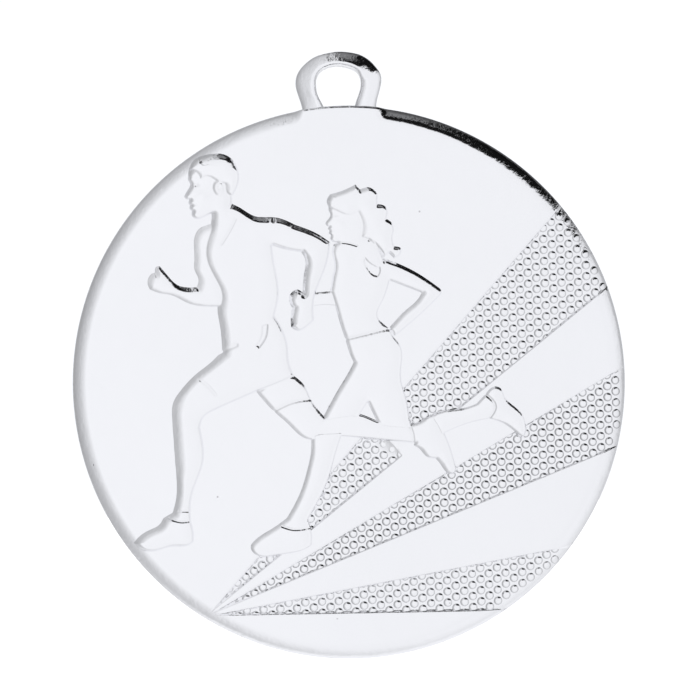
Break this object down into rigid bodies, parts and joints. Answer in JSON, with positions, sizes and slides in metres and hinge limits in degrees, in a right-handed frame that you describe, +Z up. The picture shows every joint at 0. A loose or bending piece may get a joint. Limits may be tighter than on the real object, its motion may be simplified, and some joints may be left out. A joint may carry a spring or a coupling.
{
  "type": "sports finisher medal",
  "caption": "Round silver-coloured award medal with a ribbon loop, two runners in relief and dotted rays fanning across the struck face.",
  "frame": {"origin": "centre of the disc on its plain back face", "axes": "+Z up through the ribbon loop, +Y out of the plain back, -Y out of the struck face, +X to the viewer's right when looking at the struck face"},
  "size_m": [0.05, 0.0037, 0.0549],
  "materials": {
    "plated_disc": "bright silver plate over a zinc casting, lightly polished",
    "plated_loop": "bright silver plate, slightly uneven casting",
    "plated_relief": "bright silver plate, softly rounded relief",
    "plated_dots": "bright silver plate on a stippled field"
  },
  "bodies": {
    "root": {"medal_disc": "plated_disc", "ribbon_loop": "plated_loop", "front_runner": "plated_relief", "rear_runner": "plated_relief", "upper_ray_dots": "plated_dots", "middle_ray_dots": "plated_dots", "lower_ray_dots": "plated_dots"}
  },
  "joints": []
}
